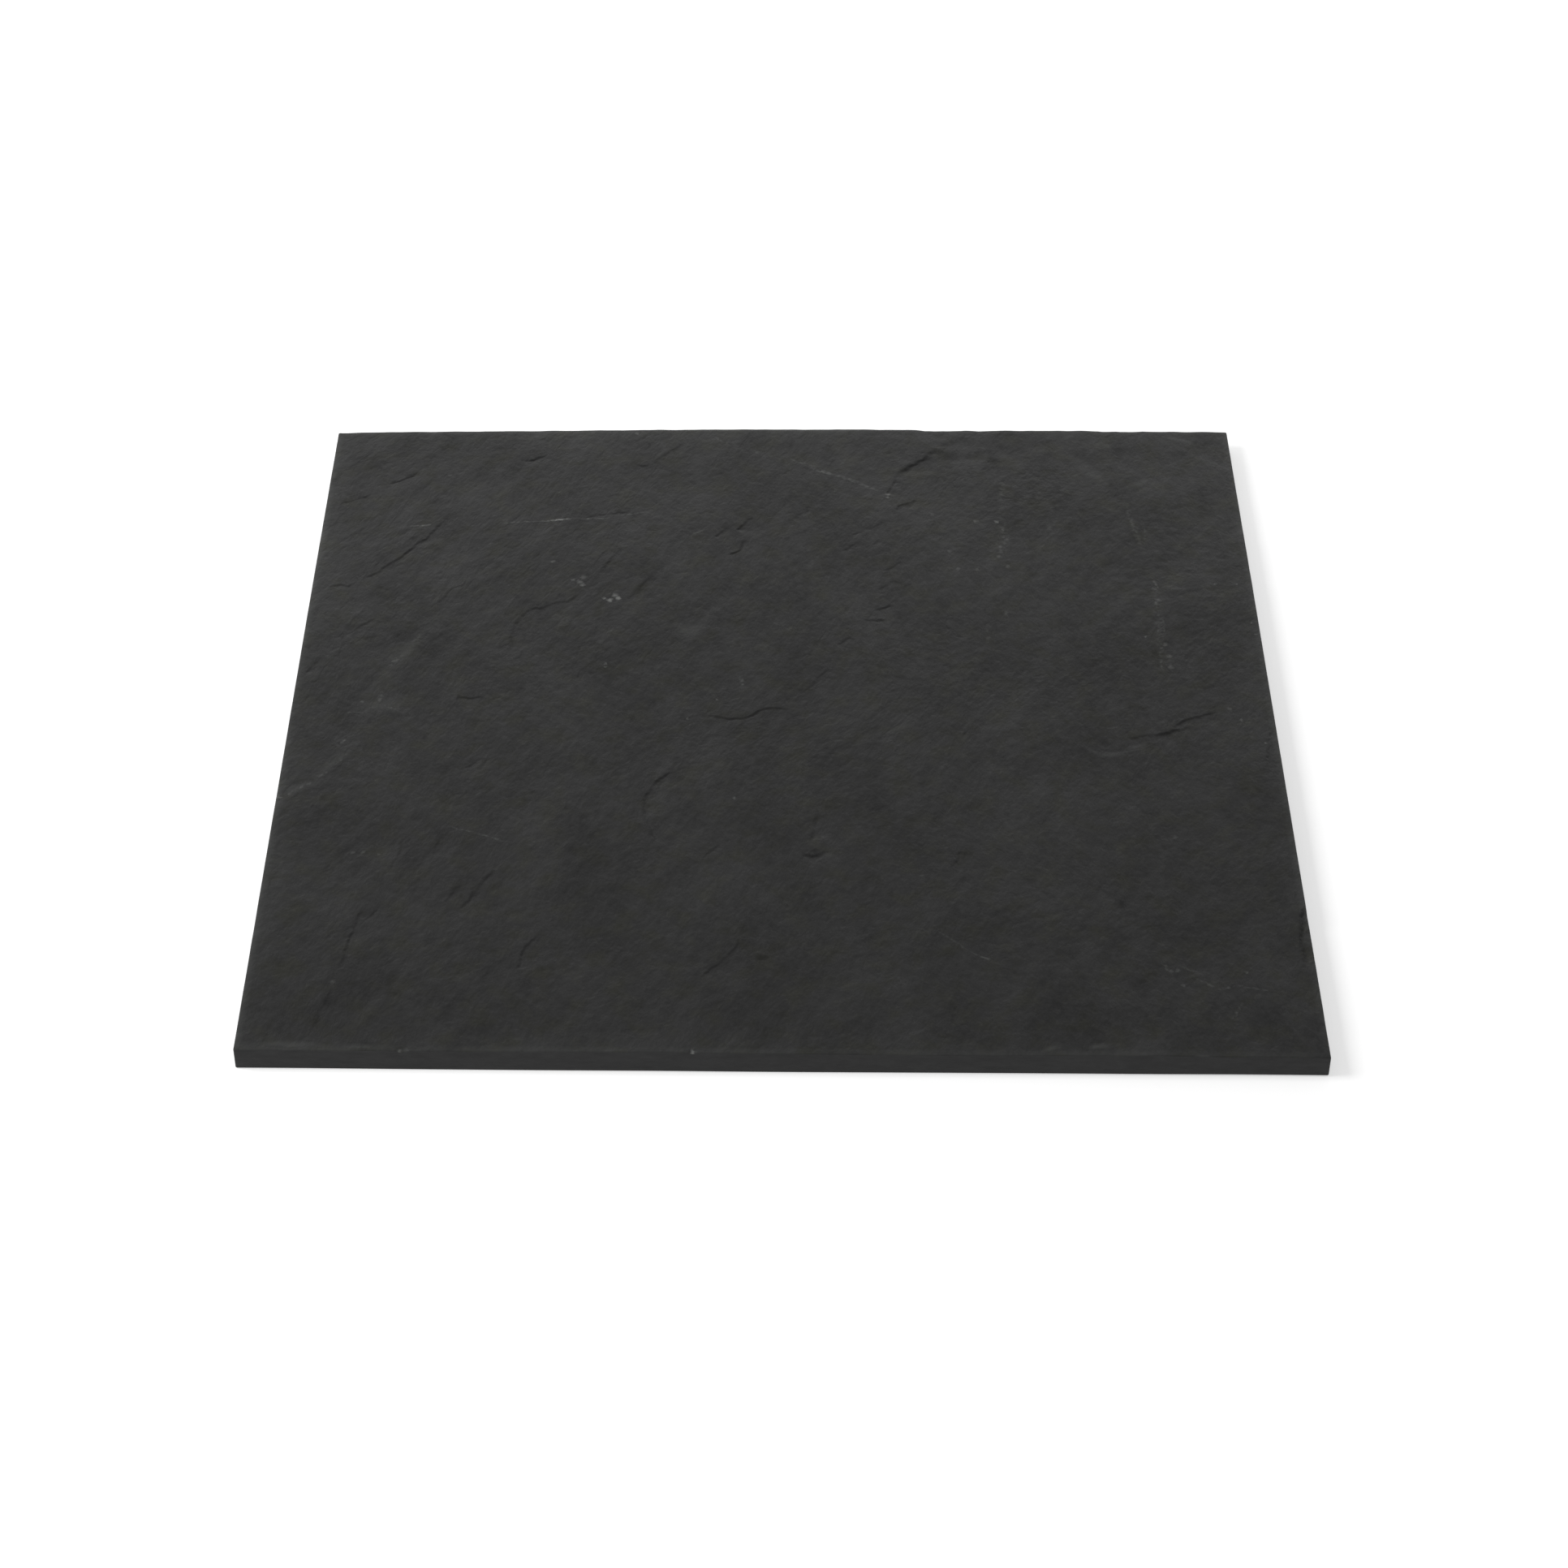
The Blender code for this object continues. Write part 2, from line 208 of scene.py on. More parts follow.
def riven_relief(x, y):
    """The split face: height over the slow form, and how far each point lies on a step face, for painted
    shade.
    """
    bend = BEND * field(x / BEND_LENGTH, y / BEND_LENGTH, 11)
    along = x * math.cos(GRAIN) + y * math.sin(GRAIN)
    across = x * math.sin(GRAIN) - y * math.cos(GRAIN) + bend
    height = RIPPLE_HEIGHT * field(along / RIPPLE_ALONG, across / RIPPLE_ACROSS, 14, 2)
    step_shade = np.zeros(len(x))
    x, y = ragged(x, y)
    uneven = np.clip(0.65 + 0.6 * field(x / UNEVEN_LENGTH, y / UNEVEN_LENGTH, 17, 2), 0.1, 1.4)
    for ledge in LEDGES.values():
        near, left, run = along_ledge(ledge, x, y)
        drop = ledge.drop * uneven[near] * smooth(run / LEDGE_FADE) * smooth((1 - run) / LEDGE_FADE)
        height[near] -= drop * smooth(left / ledge.width + 0.5) * np.clip(1 - left / ledge.reach, 0, 1) ** 2
        # Narrow steps mark their faces, which the slate material paints with shade
        if ledge.width < LEDGE_BAND:
            face = smooth(1.3 - abs(left) / ledge.width) * np.clip(drop / STEP_SHADE_FULL_DROP, 0, 1)
            step_shade[near] = np.maximum(step_shade[near], face)
    for pit_x, pit_y, radius, depth in PITS:
        height -= depth * smooth(1.3 - np.hypot(x - pit_x, y - pit_y) / radius)
    return height, step_shade


def by_ledge(x, y):
    """Whether each plan point lies in the narrow band along a ledge or by a pit, to be cut finer."""
    x, y = ragged(x, y)
    close = np.zeros(len(x), bool)
    for ledge in LEDGES.values():
        near, left, _ = along_ledge(ledge, x, y)
        close[near] |= (abs(left) < LEDGE_BAND) & (ledge.width < LEDGE_BAND)
    for pit_x, pit_y, radius, _ in PITS:
        close |= np.hypot(x - pit_x, y - pit_y) < 1.5 * radius
    return close


# A grid the size of the saw cuts, raised to a box with a small bevel along its arrises; its top is cut finer,
# and finer again along the ledges
bpy.ops.object.select_all(action="DESELECT")
bpy.ops.mesh.primitive_grid_add(
    x_subdivisions=round(WIDTH / CELL), y_subdivisions=round(DEPTH / CELL), size=1)
slab = bpy.context.object
slab.name = slab.data.name = "slab_riven"
slab.scale = (WIDTH * MM, DEPTH * MM, 1)
bpy.ops.object.transform_apply(scale=True)
bpy.ops.object.mode_set(mode="EDIT")
bpy.ops.mesh.extrude_region_move(TRANSFORM_OT_translate={"value": (0, 0, HEIGHT * MM)})
bpy.ops.mesh.subdivide(number_cuts=TOP_CUTS)
bpy.ops.mesh.select_all(action="SELECT")
bpy.ops.mesh.normals_make_consistent(inside=False)
bpy.ops.mesh.select_all(action="DESELECT")
bpy.ops.mesh.select_mode(type="EDGE")
bpy.ops.mesh.edges_select_sharp(sharpness=SMOOTH_BELOW)
bpy.ops.mesh.bevel(offset=ARRIS * MM, segments=3, affect="EDGES")
bpy.ops.mesh.select_all(action="DESELECT")
bpy.ops.mesh.select_mode(type="FACE")
bpy.ops.object.mode_set(mode="OBJECT")
centres = np.array([face.center for face in slab.data.polygons]) / MM
cut_finer = by_ledge(centres[:, 0], centres[:, 1]) & (centres[:, 2] > HEIGHT - ARRIS)
slab.data.polygons.foreach_set("select", cut_finer)
bpy.ops.object.mode_set(mode="EDIT")
bpy.ops.mesh.subdivide(number_cuts=LEDGE_CUTS)
bpy.ops.object.mode_set(mode="OBJECT")

# The sides aren't quite square, and each face takes its own relief; the walls between follow both
points = np.empty(3 * len(slab.data.vertices))
slab.data.vertices.foreach_get("co", points)
x, y, level = points.reshape(-1, 3).T / MM
y = y * np.interp(x, (-WIDTH / 2, WIDTH / 2), (LEFT_SIDE / DEPTH, 1))
upper = level > HEIGHT / 2
cad_top = cad_points[cad_points[:, 2] > SLAB_LOW[2] + HEIGHT / 2]
FACE = np.median(cad_top[:, 2] - slow_form(cad_top[:, 0], cad_top[:, 1]))
z, step_shade = np.zeros((2, len(x)))
relief, step_shade[upper] = riven_relief(x[upper], y[upper])
z[upper] = FACE + slow_form(x[upper], y[upper]) + relief + level[upper] - HEIGHT
cad_tree = BVHTree.FromPolygons([v.co for v in cad_slab.vertices], [p.vertices for p in cad_slab.polygons])
UNDER_INWARD = 0.995
LIP_REACH, LIP_LEFT, LIP_RIGHT = 14, 0.4, 0.75
CLEAR_OF_FLOOR = 0.03
lip = smooth(1 - (DEPTH / 2 + y) / LIP_REACH) * np.interp(x, (-WIDTH / 2, WIDTH / 2), (LIP_LEFT, LIP_RIGHT))
for i in np.flatnonzero(~upper):
    start = Vector((x[i] * UNDER_INWARD, y[i] * UNDER_INWARD, -HEIGHT)) * MM
    z[i] = cad_tree.ray_cast(start, (0, 0, 1))[0].z / MM + level[i] - lip[i]
z = np.clip(z, CLEAR_OF_FLOOR, SLAB_HIGH[2])
slab.data.vertices.foreach_set("co", (np.column_stack([x, y, z]) * MM).ravel())
# How far each point of the top lies on a step's face, for the painted shade there
slab.data.attributes.new("step_shade", "FLOAT", "POINT").data.foreach_set("value", step_shade)
slab.data.update()
bpy.ops.object.shade_smooth_by_angle(angle=SMOOTH_BELOW)


def linear(colour):
    """The linear colour, with alpha, of an sRGB hex value."""
    parts = [int(colour[i:i + 2], 16) / 255 for i in (1, 3, 5)]
    return [p / 12.92 if p <= 0.04045 else ((p + 0.055) / 1.055) ** 2.4 for p in parts] + [1]


def add(tree, kind, inputs=None, **settings):
    """A node of that kind with its settings; each input takes a value, or a link from a node or a socket."""
    made = tree.nodes.new("ShaderNode" + kind)
    for name, value in settings.items():
        setattr(made, name, value)
    for key, value in (inputs or {}).items():
        socket = made.inputs[key] if isinstance(key, int) else next(
            s for s in made.inputs if s.enabled and s.name == key)
        if isinstance(value, bpy.types.Node):
            value = next(s for s in value.outputs if s.enabled)
        if isinstance(value, bpy.types.NodeSocket):
            tree.links.new(value, socket)
        else:
            socket.default_value = value
    return made


def new_material(name):
    """An empty node material: its tree, and its coordinates in millimetres."""
    made = bpy.data.materials.new(name)
    made.use_nodes = True
    tree = made.node_tree
    tree.nodes.clear()
    place = add(tree, "TexCoord").outputs["Object"]
    return made, tree, add(tree, "VectorMath", {0: place, "Scale": 1 / MM}, operation="SCALE")


def finish(tree, shader):
    """Sends the shader to the material's output."""
    add(tree, "OutputMaterial", {"Surface": shader})


# Riven slate: dark grey, nearly neutral, matt with a faint sheen from fine mica. Its colour and its grain
# vary at every scale down to a few tenths of a millimetre, drawn out a little from front to back, and a
# faint olive stain mottles it. Sizes and heights are in mm.
SLATE_DARK, SLATE_LIGHT = "#1b1b1b", "#323232"
SHEEN_LOW, SHEEN_HIGH = 0.07, 0.16
PATCH_SIZE, PATCH_STRETCH = 24, 1.2
GRAIN_SIZE, GRAIN_STRETCH, GRAIN_HEIGHT = 2.5, 1.15, 0.37
DRAWN = 1.28
DASH_WIDTH, DASH_STRETCH, DASH_SHADE = 1.6, 2.0, 0.12
FLAKE_SIZE, FLAKE_STRETCH, FLAKE_HEIGHT, FLAKE_EDGE = 7.0, 1.8, 0.12, 0.18
# Painted shade on the faces of the ledges' steps
STEP_SHADE = 0.26
STAIN, STAIN_SIZE = "#ffffe9", 8
STRONG_REACH, STRONG_PATCH = 400, 40
slate, tree, mm = new_material("riven_slate")
warp = add(tree, "TexNoise", {"Vector": mm, "Scale": 1 / BEND_LENGTH, "Detail": 1})
warp = add(tree, "VectorMath", {0: warp.outputs["Color"], 1: (0.5, 0.5, 0.5)}, operation="SUBTRACT")
bent = add(tree, "VectorMath", {0: warp, 1: (4 * BEND,) * 3, 2: mm}, operation="MULTIPLY_ADD")
drawn = add(tree, "VectorMath", {0: bent, 1: (1, 1 / DRAWN, 1)}, operation="MULTIPLY")
lined = add(tree, "VectorRotate", {"Vector": drawn, "Angle": -GRAIN}, rotation_type="Z_AXIS")
stretched = [add(tree, "VectorMath", {0: lined, 1: (1 / stretch, 1, 1)}, operation="MULTIPLY")
             for stretch in (PATCH_STRETCH, GRAIN_STRETCH, FLAKE_STRETCH, DASH_STRETCH)]
tone = add(tree, "TexNoise", {
    "Vector": stretched[0], "Scale": 1 / PATCH_SIZE, "Detail": 6.4, "Roughness": 0.87})
grain = add(tree, "TexNoise", {
    "Vector": stretched[1], "Scale": 1 / GRAIN_SIZE, "Detail": 2.5, "Roughness": 0.58, "Distortion": 0.2})

# Flakes are strongest towards the back left: a slope climbs to the lower right, then falls back over a short
# edge
strong = add(tree, "VectorMath", {
    0: mm, 1: (-0.7 / STRONG_REACH, 1 / STRONG_REACH, 0)}, operation="DOT_PRODUCT")
patches = add(tree, "TexNoise", {"Vector": mm, "Scale": 1 / STRONG_PATCH, "Detail": 1})
strong = add(tree, "Math", {0: patches, 1: 1.2, 2: strong}, operation="MULTIPLY_ADD")
strong = add(tree, "MapRange", {
    "Value": strong, "From Min": 0.3, "From Max": 1.2}, interpolation_type="SMOOTHSTEP")
layers = add(tree, "TexNoise", {
    "Vector": stretched[2], "Scale": 1 / FLAKE_SIZE, "Detail": 2, "Roughness": 0.5, "Distortion": 0.3})
across = add(tree, "SeparateXYZ", {"Vector": lined}).outputs["Y"]
climb = add(tree, "Math", {0: across, 1: -1 / FLAKE_SIZE}, operation="MULTIPLY")
climb = add(tree, "Math", {0: layers, 1: 2.5, 2: climb}, operation="MULTIPLY_ADD")
part = add(tree, "Math", {0: climb}, operation="FRACT")
edge = add(tree, "MapRange", {
    "Value": part, "From Min": 1 - FLAKE_EDGE, "From Max": 1}, interpolation_type="SMOOTHSTEP")
flake = add(tree, "Math", {0: part, 1: edge}, operation="SUBTRACT")
kept = add(tree, "TexNoise", {"Vector": stretched[2], "Scale": 1 / (1.3 * FLAKE_SIZE), "Detail": 1})
kept = add(tree, "MapRange", {"Value": kept, "From Min": 0.5, "From Max": 0.7, "To Max": FLAKE_HEIGHT})
flake = add(tree, "Math", {0: flake, 1: kept}, operation="MULTIPLY")
flake = add(tree, "Math", {0: flake, 1: strong}, operation="MULTIPLY")
firm = add(tree, "MapRange", {"Value": strong, "To Min": GRAIN_HEIGHT, "To Max": 0.95 * GRAIN_HEIGHT})
height = add(tree, "Math", {0: grain, 1: firm, 2: flake}, operation="MULTIPLY_ADD")

# Ripples: a fan that opens towards the front from one place by the back edge, and short ones across the right
# margin
FAN_X, FAN_Y, FAN_NEAR, FAN_FAR, FAN_FADE, FAN_HEIGHT = 82, 146, 10, 58, 25, 0.30
FAN_RAYS, FAN_LENGTHEN = 13, 0.03
MARGIN_X, MARGIN_Y, MARGIN_HALF_X, MARGIN_HALF_Y, MARGIN_HEIGHT = 130, 78, 17, 52, 0.22
MARGIN_LONG, MARGIN_SHORT = 8, 4
ANY_HEIGHT = 1000
fan = add(tree, "VectorMath", {0: bent, 1: (FAN_X, FAN_Y, 0)}, operation="SUBTRACT")
fan = add(tree, "VectorMath", {0: fan, 1: (1, 1, 0)}, operation="MULTIPLY")
fan_far = add(tree, "VectorMath", {0: fan}, operation="LENGTH")
fan_place = add(tree, "SeparateXYZ", {"Vector": fan})
fan_turn = add(tree, "Math", {0: fan_place.outputs["X"], 1: fan_far}, operation="DIVIDE")
fan_along = add(tree, "Math", {0: fan_far, 1: FAN_LENGTHEN}, operation="MULTIPLY")
fan_rays = add(tree, "CombineXYZ", {"X": fan_turn, "Y": fan_along})
fan_rays = add(tree, "TexNoise", {"Vector": fan_rays, "Scale": FAN_RAYS, "Detail": 2})
fan_in = add(tree, "MapRange", {
    "Value": fan_far, "From Min": FAN_NEAR, "From Max": 2 * FAN_NEAR, "To Max": FAN_HEIGHT})
fan_out = add(tree, "MapRange", {"Value": fan_far, "From Min": FAN_FAR, "From Max": FAN_FAR - FAN_FADE})
fan_side = add(tree, "MapRange", {"Value": add(tree, "Math", {0: fan_turn}, operation="ABSOLUTE"),
                                  "From Min": 0.55, "From Max": 0.3})
fan = add(tree, "Math", {0: fan_in, 1: fan_out}, operation="MULTIPLY")
fan = add(tree, "Math", {0: fan, 1: fan_side}, operation="MULTIPLY")
height = add(tree, "Math", {0: fan_rays, 1: fan, 2: height}, operation="MULTIPLY_ADD")
margin = add(tree, "Mapping", {"Vector": bent, "Scale": (1 / MARGIN_LONG, 1 / MARGIN_SHORT, 0)})
margin = add(tree, "TexNoise", {"Vector": margin, "Scale": 1, "Detail": 1, "Distortion": 0.4})
margin_on = add(tree, "Mapping", {
    "Vector": mm, "Location": (MARGIN_X, MARGIN_Y, 0),
    "Scale": (MARGIN_HALF_X, MARGIN_HALF_Y, ANY_HEIGHT)}, vector_type="TEXTURE")
margin_on = add(tree, "TexGradient", {"Vector": margin_on}, gradient_type="SPHERICAL").outputs["Fac"]
margin_on = add(tree, "MapRange", {"Value": margin_on, "From Max": 0.5, "To Max": MARGIN_HEIGHT})
height = add(tree, "Math", {0: margin, 1: margin_on, 2: height}, operation="MULTIPLY_ADD")

# Dashes: short gaps under the lips of small flakes, along the grain, sunk in the bump and painted with shade
dash_gap_and_shade = add(tree, "TexNoise", {
    "Vector": stretched[3], "Scale": 1 / DASH_WIDTH, "Detail": 1, "Distortion": 0.3})
dash_gap_and_shade = add(tree, "MapRange", {"Value": dash_gap_and_shade, "From Min": 0.52, "From Max": 0.76, "To Max": DASH_SHADE})
firm = add(tree, "MapRange", {"Value": strong, "To Min": 0.2, "To Max": 0.8})
dash_gap_and_shade = add(tree, "Math", {0: dash_gap_and_shade, 1: firm}, operation="MULTIPLY")
height = add(tree, "Math", {0: dash_gap_and_shade, 1: -0.7, 2: height}, operation="MULTIPLY_ADD")

# Streaks are scratches and calcite veins, pale and broken. Smears are pale and unbroken, and shaded ones are
# dark: painted shade along ledges and over the fan's ripples, dark dashes across the right margin, and broad
# darker patches. Each runs from one end to the other, then come its half width and strength. Specks are round
# and pale; dark spots are round, painted shade in pits, nicks and ledges and dark blotches elsewhere: place,
# radius and strength.
PALE = "#a3a5a2"
MARK_GAIN = 1.3
WOBBLE_SIZE, WOBBLE = 4, 1.8
BROKEN_SIZE = 1.4
FLECK_SIZE, FLECK = 1.2, 1.6
STREAKS = {
    "long_scratch": [
        (-122, 94.6, -113, 95.2, 0.6, 0.15), (-104, 95.3, -94, 96.4, 0.5, 0.06),
        (-93, 96.4, -79, 97.4, 0.5, 0.11), (-79.5, 97.5, -66, 98.6, 0.6, 0.38),
        (-67, 98.5, -57, 99, 0.5, 0.20), (-55, 100.6, -44.5, 102.2, 0.5, 0.07)],
    "back_vein": [
        (-28, 147.5, -16, 140, 1.5, 0.06), (-12, 139, -6, 134, 1.2, 0.06), (2, 132.5, 12, 127, 1.1, 0.08),
        (8, 128.5, 17, 123, 1.1, 0.17), (16, 124, 26, 118, 1.1, 0.09), (24, 119, 32, 114, 1.0, 0.08)],
    "crossing_lines": [(13, 110, 19, 116.5, 0.8, 0.03), (-31, 88, -24, 94, 0.8, 0.06)],
    "left_vein": [
        (-151, -43, -146, -40.5, 1.3, 0.20), (-147.5, -41.3, -139, -34.5, 1.0, 0.12),
        (-140, -35, -133.5, -27, 0.9, 0.08), (-134, -28, -130, -21, 0.6, 0.07),
        (-134.5, -18.5, -130, -13.5, 0.9, 0.10)],
    "branching": [
        (-134, -2.5, -126.5, -2, 0.6, 0.06), (-128, -2.5, -122.5, 2, 1.0, 0.09),
        (-123.7, 1, -123, 7.5, 1.2, 0.09), (-123, 1.5, -117, -0.5, 1.1, 0.10),
        (-122, 20.5, -118, 26.5, 1.6, 0.10), (-117.5, 27, -112, 39, 1.6, 0.06)],
    "left_edge_line": [(-150.5, 110, -145.5, 115, 0.9, 0.10)],
    "front_left_scratch": [(-97, -55.3, -90, -58.2, 0.6, 0.13), (-91, -57.8, -79.5, -62.3, 0.6, 0.09)],
    "right_vein": [
        (117, 100, 118.2, 86, 0.9, 0.05), (111, 119, 117.5, 75, 1.3, 0.05),
        (118.8, 73, 118.3, 18, 2.0, 0.04), (118.8, 67, 119.3, 60, 1.0, 0.14),
        (119.6, 46, 119.4, 38, 1.0, 0.10), (118.6, 34, 118, 27, 1.0, 0.10),
        (118, 57.5, 118.8, 52, 0.9, 0.10), (117.5, 25.5, 118.3, 20, 0.9, 0.10)],
    "dotted_lines": [
        (73, 126, 71.5, 100, 1.8, 0.035), (71.5, 101, 72, 79, 2.0, 0.06), (69.5, 86, 71, 78, 1.0, 0.06),
        (70.5, 52, 70.8, 46, 0.8, 0.08), (64, 46, 64.5, 29, 0.8, 0.03)],
    "front_right_scratch": [(44, -100, 54, -110, 0.6, 0.06), (53, -109.3, 61.5, -114, 0.6, 0.09)],
    "front_right_veins": [
        (111.5, -114.5, 118, -118.5, 0.9, 0.05), (116, -119.5, 122, -124.5, 0.7, 0.07),
        (121, -124.3, 127, -122.4, 0.7, 0.08), (126, -122.3, 138, -124.7, 0.6, 0.09),
        (127.8, -129.5, 124, -137, 0.7, 0.08), (107, -113, 108.5, -117.5, 0.9, 0.08)],
}
SMEARS = {
    "rims": [
        (31, -12, 42, -5, 1.6, 0.03), (91, -17.5, 96, -21.8, 1.5, 0.03),
        (95, -21.8, 103, -20.8, 1.5, 0.05), (102, -20.5, 110, -15.5, 1.4, 0.03),
        (97.5, 134, 107.5, 118, 3.4, 0.03), (147, 130, 150, 128, 1.8, 0.05), (86.5, 98, 87, 91, 1.4, 0.03),
        (114, 117, 125, 125.5, 1.5, 0.03), (104, 143.5, 113, 141, 1.8, 0.04),
        (129, 148, 138, 143.5, 1.9, 0.06), (139.5, 135.5, 148, 129.5, 2.0, 0.03),
        (105, 106.5, 112, 103, 1.0, 0.03)],
    "branching": [
        (-128, -1, -117, 3, 4.5, 0.04), (-122, 19, -113, 38, 3.5, 0.035), (-114, 36, -100, 58, 2.5, 0.02),
        (-150, -42.5, -139, -34.5, 2.6, 0.05), (-141, -36, -128, -16, 2.4, 0.04),
        (-140, 48, -128, 52, 5, 0.02)],
    # Along the front rim: partly wear and partly a painted highlight along the arris
    "front_rim": [
        (-148, -146.8, -122, -147.4, 2.0, 0.07), (-128, -147.6, -100, -148.6, 2.0, 0.05),
        (-66, -148.6, -58, -148.2, 1.7, 0.045), (-100, -149, -55, -149.6, 1.6, 0.025),
        (-40, -149.8, 5, -150, 1.4, 0.025), (71.5, -149, 76, -146.6, 1.7, 0.06),
        (83, -147.6, 90, -146.6, 1.6, 0.06), (93.5, -150, 102, -150.2, 1.1, 0.05),
        (112.5, -150.7, 118, -150.8, 1.1, 0.10), (128, -150.3, 150, -150.3, 1.5, 0.025)],
}
# Dark marks: the fan and by_ledges ones are painted shade of ripples and ledges; the broad ones darken wide
# patches
SHADED = {
    "broad": [
        (-55, 20, 105, 40, 45, 0.11), (80, 18, 120, 30, 28, 0.15), (-45, -110, -45, -35, 20, 0.09),
        (72, 106, 112, 98, 18, 0.07), (20, -20, 130, -15, 22, 0.05)],
    "fan": [
        (68.5, 142, 72.5, 123, 1.8, 0.16), (77.5, 118, 75.5, 99, 2.6, 0.13),
        (82.5, 121, 82.3, 104, 2.4, 0.20), (87.5, 113, 90.5, 101, 2.0, 0.20),
        (89, 121, 93, 111, 2.0, 0.18), (94.5, 107, 99.5, 95, 2.2, 0.17), (84, 129, 88, 120, 2.4, 0.12),
        (72, 131, 67, 125, 3.0, 0.12)],
    "by_ledges": [
        (39, 124.5, 50, 135, 1.5, 0.20), (49, 46, 53.5, 37.5, 0.8, 0.26),
        (53.5, 37, 58.5, 36.3, 0.8, 0.22), (-33, -31, -40, -39, 0.8, 0.20),
        (-40, -38, -41.3, -50, 1.0, 0.24), (-41, -49, -36, -66, 1.0, 0.15),
        (-92.5, -93, -85, -77, 1.6, 0.14), (-97, -90, -93, -80, 1.2, 0.10), (-52, 84, -59, 69, 1.2, 0.18),
        (-42, 68, -49, 56, 1.2, 0.18), (-85, 27, -84.5, 42, 1.6, 0.12)],
    "right_margin": [
        (128, 50.8, 132.5, 50.2, 0.9, 0.18), (138, 55, 142, 53.2, 0.9, 0.18),
        (132, 47.6, 136.5, 47.4, 0.8, 0.14), (121, 79, 124, 76, 1.0, 0.14),
        (129, 71.8, 132, 71.2, 0.9, 0.14), (129, 138, 136, 136.5, 2.4, 0.14),
        (137, 106.5, 142, 101.5, 2.0, 0.12)],
}
SPECKS = [
    (-66.8, 65.4, 0.9, 0.12), (-64.8, 64.2, 1.2, 0.17), (-63.6, 66.8, 1.3, 0.14), (-63.9, 62.8, 1.2, 0.22),
    (-56.6, 56, 0.9, 0.28), (-54.9, 54.9, 1.2, 0.44), (-53.3, 57.4, 1.1, 0.28), (-52.3, 55.9, 1.2, 0.42),
    (-73.8, 75.2, 0.9, 0.12), (-110.5, 123.5, 1.0, 0.08), (-31, 39.3, 3.4, 0.055), (-29, 39.8, 6, 0.03),
    (-54.9, 22.2, 0.7, 0.14), (-55, 20.8, 0.5, 0.12), (-12.6, 14, 1.1, 0.10), (-12.4, 12, 0.8, 0.12),
    (-20, 4.7, 0.7, 0.13), (-29, -4.5, 0.8, 0.12), (-14.3, -42, 0.7, 0.12), (34.7, 112.3, 1.0, 0.20),
    (34.5, 110.6, 0.8, 0.22), (63, 97.6, 0.8, 0.14), (69.8, 97.3, 1.0, 0.25), (72.6, 88, 1.2, 0.10),
    (70.4, 84, 1.0, 0.10), (71.6, 93, 0.9, 0.12), (53.8, 81, 0.9, 0.07), (56.3, 71.5, 1.0, 0.09),
    (62.4, 71.3, 0.9, 0.10), (69.7, 78.7, 0.9, 0.09), (72.2, 73.4, 0.9, 0.10), (48.8, 101.5, 1.0, 0.06),
    (113.8, 37, 0.7, 0.14), (118.5, 62, 1.1, 0.12), (119.3, 56, 1.2, 0.10), (118, 40, 1.0, 0.09),
    (119.5, 33, 1.1, 0.11), (120.3, 27, 1.1, 0.11), (120.3, 21.5, 1.2, 0.12), (138, 64.5, 0.6, 0.10),
    (145, 64.5, 0.6, 0.12), (147.7, 44, 0.6, 0.18), (148.3, 38, 0.7, 0.20), (136.6, 0.8, 0.9, 0.10),
    (139.6, -4.5, 0.7, 0.12), (146, -15.5, 0.6, 0.13), (115.2, -59, 1.0, 0.06), (40.3, -76.5, 0.8, 0.06),
    (130, -117, 0.7, 0.10), (109, -116.7, 0.9, 0.09), (111, -116.4, 0.9, 0.08), (112, -122.5, 0.8, 0.09),
    (-125, -67.2, 0.8, 0.08), (-122, -67.2, 0.8, 0.06), (-117.3, -67.9, 0.7, 0.06),
    (-49, 147.3, 1.2, 0.14), (-104.5, -149, 1.2, 0.20), (-24.5, -149.5, 1.0, 0.35),
    (-128.5, 2.7, 0.7, 0.08), (-125.4, -122, 1.0, 0.06), (-59, -38, 1.6, 0.03),
]
# Dark spots: painted shade in pits and nicks, by ledges and over the fan, and dark blotches elsewhere
SHADE_AND_DARK_SPOTS = [
    (70, 132, 4, 0.35), (100.5, 136, 4.5, 0.25), (98, 105, 4, 0.20), (97.5, -16.5, 2.4, 0.14),
    (-6, -112, 2.2, 0.22), (9.5, -67.3, 2.6, 0.20), (116, -11, 3.5, 0.15), (-93.5, -26, 2.5, 0.12),
    (97, -88, 3, 0.32), (100, -121, 7, 0.14), (109.5, -48.5, 3, 0.20), (-12, -5.7, 2.4, 0.12),
    (33, 63.5, 2.2, 0.12), (86, 127, 11, 0.14), (88, 112, 15, 0.09), (-138, 132, 11, 0.14),
    (-127, 140, 10, 0.14), (105.5, 76, 4, 0.14), (-68, -85, 8, 0.12), (30, 76, 12, 0.07),
    (79.8, 123, 1.3, 0.22), (108.5, 119.5, 1.6, 0.20), (138.5, 117, 5, 0.12),
]
wobble = add(tree, "TexNoise", {"Vector": mm, "Scale": 1 / WOBBLE_SIZE, "Detail": 2})
wobble = add(tree, "VectorMath", {0: wobble.outputs["Color"], 1: (0.5, 0.5, 0.5)}, operation="SUBTRACT")
wobbly = add(tree, "VectorMath", {0: wobble, 1: (WOBBLE,) * 3, 2: mm}, operation="MULTIPLY_ADD")


